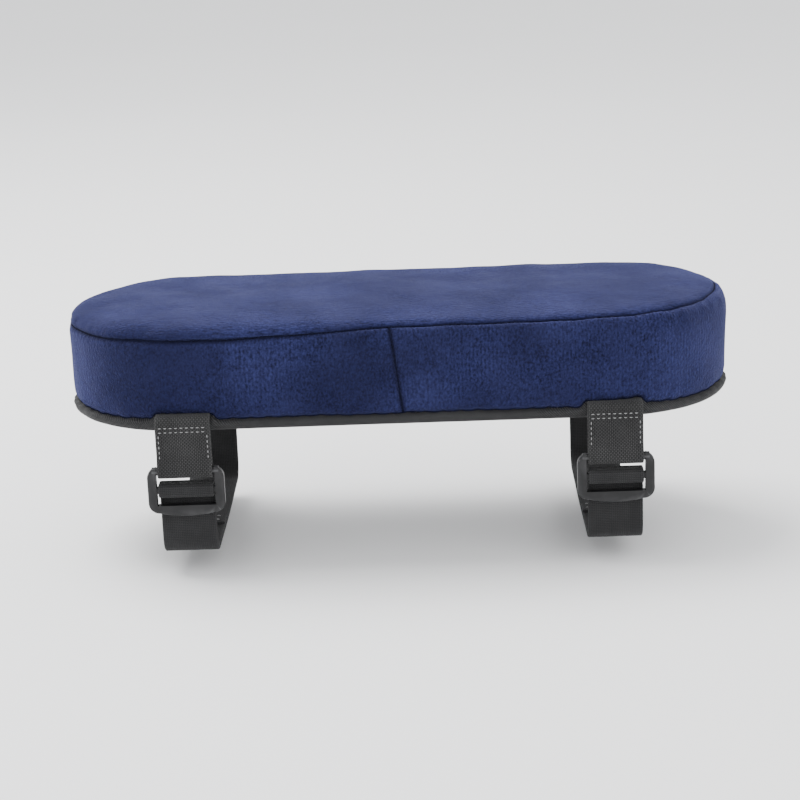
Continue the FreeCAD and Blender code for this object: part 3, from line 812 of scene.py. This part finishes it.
STITCH_MARGIN = 1.2
STITCH_GAP = 0.7
TAB_THREAD = 0.2
TAB_ROW_PITCH = 1.9
TAB_ROWS_Z = (3.4, 1.8)
TAB_EDGE_PITCH = 1.8
TAB_EDGE_TOP_Z = 0.6
TAB_EDGE_END_Z = INNER_BAR_Z + TAB_NECK - 1.5
WEB_THREAD = 0.24
WEB_STITCH_PITCH = 2.3
ROOT_ROW_Z = 2.6
HEM_ROWS = (1.5, 6)
FACING_THREAD = 0.22
FACING_STITCH_PITCH = 2.6
FACING_ROW = 2.2
SIDES = (("left", -STRAP_X), ("right", STRAP_X))
THREAD_STEPS = 7
THREAD_ARCH = 1.3
THREAD_DIP = 0.7
THREAD_TIP = 0.35
TUBE_SIDES = 6
AROUND = np.linspace(0, 2 * pi, TUBE_SIDES + 1)[:-1]


def stitch_run(start, end, pitch):
    """Stitches one after another from start to end, each as its two ends."""
    start = np.array(start, float)
    end = np.array(end, float)
    count = max(1, int(np.linalg.norm(end - start) / pitch))
    step = (end - start) / count
    return [(start + step * k, start + step * (k + 1) - step * STITCH_GAP / pitch) for k in range(count)]


def thread(name, stitches, out, radius, material, body):
    """Stitches lying on a face that looks along out: each dips into the cloth at both ends."""
    out = np.array(out, float)
    points = []
    faces = []
    for first, last in stitches:
        aside = np.cross(out, unit(last - first))
        start = len(points)
        for k in np.linspace(0, 1, THREAD_STEPS):
            lift = radius * (THREAD_ARCH * math.sin(pi * k) - THREAD_DIP)
            centre = first + (last - first) * k + out * lift
            size = radius * (THREAD_TIP + (1 - THREAD_TIP) * math.sin(pi * k) ** 0.5)
            points += [centre + size * (math.cos(a) * aside + math.sin(a) * out) for a in AROUND]
        faces += tube_faces(THREAD_STEPS, TUBE_SIDES, start)
    piece = mesh_piece(name, points, faces, material)
    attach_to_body(piece, body)


def stitching(material):
    face_y = SLIDER_Y - WEB_THICKNESS + WEB_EASE
    far_y = ROOT_HIGH[1] - WEB_EASE
    hem_z = TAIL_END_Z + WEB_THICKNESS + HALF_WEB - WEB_EASE
    half = WEB_WIDTH / 2 - STITCH_MARGIN
    for side, x in SIDES:
        rows = []
        for z in TAB_ROWS_Z:
            rows += stitch_run((x - half, face_y, z), (x + half, face_y, z), TAB_ROW_PITCH)
        for edge in (x - half, x + half):
            ends = (edge, face_y, TAB_EDGE_TOP_Z), (edge, face_y, TAB_EDGE_END_Z)
            rows += stitch_run(*ends, TAB_EDGE_PITCH)
        thread(side + "_tab_stitches", rows, (0, -1, 0), TAB_THREAD, material, "root")
        far = stitch_run((x - half, far_y, ROOT_ROW_Z), (x + half, far_y, ROOT_ROW_Z), WEB_STITCH_PITCH)
        thread(side + "_root_stitches", far, (0, 1, 0), WEB_THREAD, material, "root")
        hem = []
        for back in HEM_ROWS:
            y = TAIL_END_HIGH[1] - back
            hem += stitch_run((x - half, y, hem_z), (x + half, y, hem_z), WEB_STITCH_PITCH)
        hem = [tuple(drape(end, x) for end in ends) for ends in hem]
        thread(side + "_hem_stitches", hem, (0, 0, 1), WEB_THREAD, material, side + "_loop")


def facing_stitches(material, facings):
    """Two rows of thread holding the zip's facings to its tapes."""
    half = ZIP_HALF - 1
    for name, z in (("lower", ZIP_LOW_Z - FACING_ROW), ("upper", ZIP_HIGH_Z + FACING_ROW)):
        ends = np.array(stitch_run((-half, HALF_WIDTH, z), (half, HALF_WIDTH, z), FACING_STITCH_PITCH))
        ends[..., 1] = front_at(facings, ends, HALF_WIDTH)
        rows = [tuple(e) for e in ends]
        thread("zip_facing_stitches_" + name, rows, (0, 1, 0), FACING_THREAD, material, "root")


# ---- Zip ----

COIL_PITCH = 1.4
COIL_STEPS = 14
COIL_FLATNESS = 0.6
COIL_MESH = 0.35
WIRE_RADIUS = 0.26
TAPE_SIDE = 0.6
TAPE_GAP = 0.02
TAPE_BACK = 0.12
TAPE_THINNER = 0.15
TAPE_COLUMNS = 129
TAPE_ROWS = 26
TAPE_CORD = 2.9
TAPE_CORD_WIDTH = 0.5
TAPE_CORD_RISE = 0.08
TAPE_RIB_PITCH = 1.1
TAPE_RIB_RISE = 0.03
TAPE_TUCK = PLUSH_THICKNESS + 0.1


def squared(wave):
    """A wave from -1 to 1 with flatter tops and steeper sides."""
    return np.sign(wave) * np.abs(wave) ** COIL_FLATNESS


def coil(side, material):
    """One row of zip teeth: a flattened spiral of monofilament along the tape's edge."""
    node = "zip_coil_" + side
    low, high = box_mm(node)
    if side == "upper":
        low[2] = ZIP_Z - COIL_MESH
    else:
        high[2] = ZIP_Z + COIL_MESH
    centre = (low + high) / 2
    half = (high - low) / 2 - WIRE_RADIUS
    length = high[0] - low[0] - 2 * WIRE_RADIUS
    turns = int(length / COIL_PITCH)
    u = np.linspace(0, turns, turns * COIL_STEPS + 1)
    angle = 2 * pi * u + (pi if side == "upper" else 0)
    x = low[0] + WIRE_RADIUS + u / turns * length
    y = centre[1] + half[1] * squared(np.sin(angle))
    z = centre[2] + half[2] * squared(np.cos(angle))
    round_tube(node + "_teeth", np.stack([x, y, z], -1), WIRE_RADIUS, [node], material)


def round_tube(name, line, radius, nodes, material, closed=False):
    """A thread or wire along a line, joined end to end when closed."""
    wrapped = np.concatenate([line[-1:], line, line[:1]]) if closed else line
    ahead = np.gradient(wrapped, axis=0)
    ahead = unit(ahead[1:-1] if closed else ahead)
    aside = unit(np.cross(ahead, [1, 0.02, 0.01]))
    other = np.cross(ahead, aside)
    ring = np.cos(AROUND)[None, :, None] * aside[:, None] + np.sin(AROUND)[None, :, None] * other[:, None]
    points = line[:, None] + radius * ring
    if closed:
        faces = grid_faces(len(line), TUBE_SIDES, ring=True, tube=True)
    else:
        faces = [face[::-1] for face in tube_faces(len(line), TUBE_SIDES)]
    piece = mesh_piece(name, points, faces, material)
    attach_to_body(piece, "root")
    if nodes:
        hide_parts(*nodes)


def tape(side, material, facings):
    """Woven zip tape: thin, with a raised cord by the teeth, and tucked under its facing."""
    node = "zip_tape_" + side
    low, high = box_mm(node)
    x = np.linspace(-ZIP_HALF - TAPE_SIDE, ZIP_HALF + TAPE_SIDE, TAPE_COLUMNS)
    ends = (ZIP_Z + TAPE_GAP, high[2]) if side == "upper" else (low[2], ZIP_Z - TAPE_GAP)
    z = np.linspace(*ends, TAPE_ROWS)
    grid_x, grid_z = np.meshgrid(x, z, indexing="ij")
    from_cord = (np.abs(grid_z - ZIP_Z) - TAPE_CORD) / TAPE_CORD_WIDTH
    rise = TAPE_CORD_RISE * np.exp(-(from_cord**2))
    rise = rise + TAPE_RIB_RISE * np.sin(2 * pi * grid_z / TAPE_RIB_PITCH)
    front = np.stack([grid_x, high[1] - TAPE_BACK + rise, grid_z], -1)
    front[..., 1] = np.minimum(front[..., 1], front_at(facings, front, 2 * HALF_WIDTH) - TAPE_TUCK)
    faces = [face[::-1] for face in grid_faces(len(x), len(z))]
    piece = mesh_piece(node + "_cloth", front, faces, material)
    store(piece, "along", grid_x.ravel())
    store(piece, "across", grid_z.ravel())
    thicken(piece, high[1] - low[1] - TAPE_THINNER)
    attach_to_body(piece, "root")
    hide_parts(node)


# ---- Materials ----


class Nodes:
    """A material's node tree, with short calls for the nodes used here."""

    def __init__(self, name, specular, sheen=0, sheen_roughness=0.4):
        self.material = bpy.data.materials.new(name)
        self.material.use_nodes = True
        self.tree = self.material.node_tree
        self.shader = self.tree.nodes["Principled BSDF"]
        self.feed(self.shader, {"Specular IOR Level": specular})
        self.feed(self.shader, {"Sheen Weight": sheen, "Sheen Roughness": sheen_roughness})
        self.place = self.add("TexCoord").outputs["Object"]

    def add(self, kind, sockets=None, **settings):
        """A new node with these settings and sockets."""
        node = self.tree.nodes.new("ShaderNode" + kind)
        for key, value in settings.items():
            setattr(node, key, value)
        self.feed(node, sockets or {})
        return node

    def feed(self, node, sockets):
        """Links each socket to another node's output, or gives it a value."""
        for socket, source in sockets.items():
            if hasattr(source, "is_output"):
                self.tree.links.new(source, node.inputs[socket])
            else:
                node.inputs[socket].default_value = source

    def stretched(self, size):
        """Places in millimetres, divided by one length, or by one along each axis."""
        scale = [1 / (MM * length) for length in np.broadcast_to(size, 3)]
        return self.add("Mapping", {"Vector": self.place, "Scale": scale}).outputs["Vector"]

    def noise(self, size, detail=2, rough=0.5):
        sockets = {"Vector": self.stretched(size), "Scale": 1, "Detail": detail, "Roughness": rough}
        return self.add("TexNoise", sockets).outputs["Fac"]

    def math(self, operation, *values):
        return self.add("Math", dict(enumerate(values)), operation=operation).outputs[0]

    def times(self, a, b, *plus):
        """A product, with a third value added if there is one."""
        return self.math("MULTIPLY_ADD" if plus else "MULTIPLY", a, b, *plus)

    def ramp(self, *values):
        """A value moved from a range, the next two, to another, the last two or else 0 to 1."""
        return self.add("MapRange", dict(enumerate(values))).outputs[0]

    def varied(self, noise, low, high):
        """A noise, which mostly stays between 0.3 and 0.7, spread from low to high."""
        return self.ramp(noise, 0.3, 0.7, low, high)

    def mix(self, share, a, b):
        return self.add("Mix", {0: share, 6: a, 7: b}, data_type="RGBA").outputs[2]

    def attribute(self, name):
        return self.add("Attribute", attribute_name=name).outputs["Fac"]

    def wave(self, value, pitch):
        """From 0 to 1 and back once every pitch."""
        turn = self.times(value, 2 * pi / pitch)
        return self.times(self.math("SINE", turn), 0.5, 0.5)

    def finish(self, colour, roughness, height=None, distance=0, strength=0):
        self.feed(self.shader, {"Base Color": colour, "Roughness": roughness})
        if height is not None:
            bump = self.add("Bump", {"Strength": strength, "Distance": distance * MM, "Height": height})
            self.feed(self.shader, {"Normal": bump.outputs["Normal"]})
        return self.material


def rgb(red, green, blue):
    return (red, green, blue, 1)


VELOUR_RIB = 1.4
TWILL_PITCH = 0.95
TWILL_CROSS = 0.62
DIAMOND_PITCH = 1.25
SELVEDGE_WIDTH = 1.4


def plush(name, nap, lift, ribs, sheen):
    """Short velour pile: brushed streaks along the nap, mottled where it leans, and painted shade darkening
    it down in the seams.
    """
    n = Nodes(name, 0.1, sheen)
    n.feed(n.shader, {"Sheen Tint": rgb(0.36, 0.4, 1)})
    streaks = n.noise(nap, 3, 0.6)
    speckle = n.noise(0.8, 3, 0.75)
    lean = n.noise(17)
    patches = n.noise((34, 26, 30), 1)
    rib = n.times(n.wave(n.attribute("round"), VELOUR_RIB), n.ramp(patches, 0.42, 0.6, 0, ribs))
    pile = n.times(streaks, 0.5, n.times(speckle, 0.5))
    pile = n.times(rib, 0.05, pile)
    dark = n.mix(n.ramp(lean, 0.35, 0.68), rgb(0.0026, 0.0027, 0.0125), rgb(0.0062, 0.0066, 0.027))
    light = n.mix(n.ramp(patches, 0.35, 0.7), rgb(0.0125, 0.0148, 0.056), rgb(0.0235, 0.0275, 0.096))
    colour = n.mix(n.ramp(pile, 0.38 - lift, 0.66 - lift), dark, light)
    # Painted shade: the pile's colour darkens towards each seam, where the groove lies in shade.
    painted_seam_shade = n.ramp(n.attribute("seam_gap"), 0.1, 1.3)
    colour = n.mix(painted_seam_shade, rgb(0.003, 0.0032, 0.014), colour)
    tuft = n.times(speckle, 1.1, n.times(rib, 0.12, streaks))
    return n.finish(colour, n.varied(lean, 0.95, 0.8), tuft, 0.55, 0.85)


def grip_cloth():
    """Dark twill with a fine diagonal rib, which turns the corner with the cloth where the rim stands up."""
    n = Nodes("grip_twill", 0.12, 0.05)
    split = n.add("SeparateXYZ", {"Vector": n.stretched(1)})
    x, y, z = (split.outputs[axis] for axis in "XYZ")
    on_rim, along = n.attribute("on_rim"), n.attribute("round")
    weaves = []
    for first, second in ((x, y), (along, z)):
        rib = n.wave(n.math("ADD", first, second), TWILL_PITCH)
        cross = n.wave(n.math("SUBTRACT", first, second), TWILL_CROSS)
        weaves.append(n.times(rib, 0.7, n.times(cross, 0.3)))
    flat, turned_up = weaves
    change = n.times(on_rim, n.math("SUBTRACT", turned_up, flat))
    weave = n.math("ADD", flat, change)
    fluff = n.noise(0.5)
    wear = n.noise((30, 22, 10), 3)
    base = n.mix(n.ramp(wear, 0.35, 0.7), rgb(0.006, 0.006, 0.0065), rgb(0.011, 0.011, 0.0115))
    colour = n.mix(n.ramp(n.times(weave, fluff), 0.12, 0.45), base, rgb(0.048, 0.048, 0.049))
    return n.finish(colour, n.varied(wear, 0.8, 0.65), weave, 0.16, 0.8)


def dot_rubber():
    n = Nodes("dot_rubber", 0.45)
    speckle = n.noise(0.4)
    dust = n.noise(9, 3)
    colour = n.mix(n.ramp(dust, 0.45, 0.75), rgb(0.026, 0.026, 0.027), rgb(0.062, 0.062, 0.062))
    return n.finish(colour, n.varied(speckle, 0.22, 0.38), speckle, 0.05, 0.4)


def open_foam():
    n = Nodes("open_foam", 0.2)
    pores = n.add("TexVoronoi", {"Vector": n.stretched(0.7), "Scale": 1}).outputs["Distance"]
    age = n.noise(20)
    base = n.mix(age, rgb(0.62, 0.58, 0.46), rgb(0.72, 0.69, 0.6))
    # Painted shade: the foam is darker down in its pores.
    colour = n.mix(n.ramp(pores, 0, 0.5), rgb(0.3, 0.27, 0.2), base)
    return n.finish(colour, 0.95, pores, 0.3, 0.7)


def woven(name, dark, light, pitch, rib_share, diamond=0):
    """Flat weave from lengths stored along and across the piece: cross ribs, broken by the warp."""
    n = Nodes(name, 0.14, 0.06)
    along, across = n.attribute("along"), n.attribute("across")
    rib = n.wave(along, pitch)
    zigzag = n.math("PINGPONG", across, pitch * 2.2)
    herring = n.wave(n.times(zigzag, 0.8, along), pitch)
    warp = n.wave(across, pitch * 1.05)
    weave = n.times(rib, rib_share, n.times(herring, 1 - rib_share))
    rising = n.wave(n.math("ADD", along, across), DIAMOND_PITCH)
    falling = n.wave(n.math("SUBTRACT", along, across), DIAMOND_PITCH)
    crossing = n.times(n.times(rising, falling), diamond)
    weave = n.times(weave, 1 - diamond, crossing)
    thread_height = n.times(warp, 0.3, n.times(weave, 0.7))
    fibre = n.noise(0.35, 3)
    rubbed = n.noise((9, 9, 14), 3)
    selvedge = n.ramp(n.math("ABSOLUTE", across), WEB_WIDTH / 2 - SELVEDGE_WIDTH, WEB_WIDTH / 2)
    fuzz = n.times(n.math("SUBTRACT", fibre, 0.5), 0.5)
    worn = n.times(thread_height, n.ramp(rubbed, 0.3, 0.75, 0.55, 1))
    tone = n.math("ADD", worn, fuzz)
    colour = n.mix(n.math("ADD", tone, n.times(selvedge, 0.12)), dark, light)
    return n.finish(colour, n.varied(fibre, 0.75, 0.9), thread_height, 0.22, 0.9)


def sewing_thread(name, *colour):
    n = Nodes(name, 0.25, 0.08, 0.3)
    ply = n.noise((0.2, 0.5, 0.2))
    shaded = rgb(*(0.55 * part for part in colour))
    colour = n.mix(n.ramp(ply, 0.35, 0.65), shaded, rgb(*colour))
    return n.finish(colour, 0.6, ply, 0.06, 0.6)


def seam_shadow_thread():
    """Navy thread down in a seam, darkened with painted shade."""
    n = Nodes("seam_thread_and_shade", 0.1)
    ply = n.noise(0.6)
    # Very dark navy: the thread's colour with the seam's shade painted in.
    colour = n.mix(n.ramp(ply, 0.35, 0.65), rgb(0.002, 0.0024, 0.009), rgb(0.006, 0.007, 0.024))
    return n.finish(colour, 0.9, ply, 0.08, 0.6)


def moulded_plastic():
    """Satin black plastic with fine mould grain, paler where handling has rubbed its edges."""
    n = Nodes("moulded_plastic", 0.24)
    grain = n.noise(0.28, 3, 0.65)
    worn = n.noise(5, 4, 0.6)
    edge = n.ramp(n.add("NewGeometry").outputs["Pointiness"], 0.5, 0.56)
    rub = n.times(edge, n.ramp(worn, 0.3, 0.6, 0.35, 1))
    base = n.mix(n.ramp(worn, 0.35, 0.7), rgb(0.008, 0.008, 0.0085), rgb(0.015, 0.015, 0.0155))
    colour = n.mix(n.times(rub, 0.7), base, rgb(0.085, 0.085, 0.088))
    gloss = n.math("ADD", n.varied(worn, 0.36, 0.5), n.times(rub, 0.12))
    return n.finish(colour, gloss, grain, 0.03, 0.35)


def monofilament():
    n = Nodes("monofilament", 0.4)
    tone = n.noise(3)
    colour = n.mix(tone, rgb(0.008, 0.012, 0.045), rgb(0.016, 0.024, 0.075))
    return n.finish(colour, n.varied(tone, 0.3, 0.45), tone, 0.02, 0.3)


def enamelled_metal():
    """Dark enamel over zinc, worn through to bright metal along the edges."""
    n = Nodes("enamelled_metal", 0.35)
    worn = n.noise(1.6, 4, 0.7)
    edge = n.ramp(n.add("NewGeometry").outputs["Pointiness"], 0.53, 0.62)
    bare = n.ramp(n.times(edge, worn), 0.42, 0.6)
    enamel = n.mix(worn, rgb(0.005, 0.006, 0.014), rgb(0.01, 0.012, 0.026))
    n.feed(n.shader, {"Metallic": bare})
    colour = n.mix(bare, enamel, rgb(0.2, 0.2, 0.19))
    return n.finish(colour, n.varied(worn, 0.28, 0.42), worn, 0.03, 0.3)


def studio_floor():
    n = Nodes("studio_floor", 0.2)
    tone = n.noise(400)
    return n.finish(n.mix(tone, rgb(0.8, 0.8, 0.8), rgb(0.84, 0.84, 0.84)), 0.7)


# ---- Build the pieces ----

top_velour = plush("plush_top", (2.6, 0.6, 0.6), 0.03, 0, 0.14)
band_velour = plush("plush_band", (0.7, 0.7, 1.3), 0, 1, 0.2)
webbing = woven("webbing_weave", rgb(0.006, 0.006, 0.0063), rgb(0.04, 0.04, 0.041), 0.65, 0.55)
tab_webbing = woven(
    "tab_weave", rgb(0.005, 0.005, 0.0053), rgb(0.07, 0.07, 0.07), 0.65, 0.55, diamond=0.75
)
tape_weave = woven("zip_tape_weave", rgb(0.003, 0.0038, 0.014), rgb(0.01, 0.013, 0.045), 0.45, 0.3)
pale_thread = sewing_thread("pale_thread", 0.26, 0.26, 0.26)
navy_thread = sewing_thread("navy_thread", 0.01, 0.012, 0.042)
# The seams' thread is coloured with painted shade as well as its own navy.
seam_stitching_and_shade = seam_shadow_thread()
plastic = moulded_plastic()
metal = enamelled_metal()

form = puffed_form()
over_zip = level_line(at_height(ZIP_HIGH_Z))
under_zip = level_line(at_height(ZIP_LOW_Z))
top_cover = cover_panel(
    "cover_top", None, (level_line(0), top_seam), ["top_panel"], top_velour, form, (False, True)
)
for name, span in (("right", (0, FAR_RIGHT)), ("left", (FAR_LEFT, PERIMETER))):
    cover_panel(
        "cover_band_" + name, span, (top_seam, band_foot), ["side_band_" + name], band_velour, form
    )
facings = cloth_front([
    cover_panel(
        "cover_zip_facing_" + name, (FAR_RIGHT, FAR_LEFT), lines, ["zip_panel_" + name],
        band_velour, form, fold=fold,
    )
    for name, lines, fold in (("upper", (top_seam, over_zip), 1), ("lower", (under_zip, band_foot), 0))
])
grip_panel(grip_cloth(), form)
seams(seam_stitching_and_shade, form)
foam = foam_block(open_foam(), form)
straps(tab_webbing, webbing)
stitching(pale_thread)
facing_stitches(navy_thread, facings)
for side in ("upper", "lower"):
    coil(side, monofilament())
    tape(side, tape_weave, facings)

KEPT = {
    "grip_dots": dot_rubber(), "left_slider": plastic, "right_slider": plastic, "zip_slider": metal,
    "zip_pull": metal, "zip_stop_closed": metal, "zip_stop_open": metal,
}
for node, finish_material in KEPT.items():
    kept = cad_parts[node]
    kept.data.materials.clear()
    kept.data.materials.append(finish_material)

# ---- Floor, light and camera ----

# The floor is just below the strap loops when they are let out as far as they go.
FLOOR_Z = -0.0545
FLOOR_HALF = 15.0
floor_mesh = bpy.data.meshes.new("floor")
corners = ((-1, -1), (1, -1), (1, 1), (-1, 1))
floor_mesh.from_pydata([(FLOOR_HALF * x, FLOOR_HALF * y, FLOOR_Z) for x, y in corners], [], [range(4)])
floor_mesh.materials.append(studio_floor())
floor = in_scene("floor", floor_mesh)


def aim(thing, target):
    direction = Vector(target) - thing.location
    thing.rotation_euler = direction.to_track_quat("-Z", "Y").to_euler()


def soft_light(name, place, size, power):
    """A square lamp that looks at the pad's middle."""
    light = bpy.data.lights.new(name, "AREA")
    light.shape = "SQUARE"
    light.size = size
    light.energy = power
    thing = in_scene(name, light)
    thing.location = place
    aim(thing, (0, 0, 0))


soft_light("key", (-0.45, 0.25, 1.05), size=0.8, power=24)
soft_light("fill", (0.7, -0.9, 0.5), size=0.9, power=4.5)

world = bpy.data.worlds.new("studio")
world.use_nodes = True
sky = world.node_tree.nodes["Background"].inputs
sky["Color"].default_value = rgb(0.93, 0.94, 0.96)
sky["Strength"].default_value = 1.75
bpy.context.scene.world = world

AZIMUTH = math.radians(1)
ELEVATION = math.radians(16)
ROLL = math.radians(-2.2)
DISTANCE = 0.8
TARGET = Vector((0, 0, -0.003))
camera_data = bpy.data.cameras.new("camera")
camera_data.lens = 94
camera_data.sensor_width = 36
camera = in_scene("camera", camera_data)
camera.location = TARGET + DISTANCE * Vector((
    math.sin(AZIMUTH) * math.cos(ELEVATION),
    -math.cos(AZIMUTH) * math.cos(ELEVATION),
    math.sin(ELEVATION),
))
aim(camera, TARGET)
camera.rotation_euler.rotate_axis("Z", ROLL)
bpy.context.scene.camera = camera
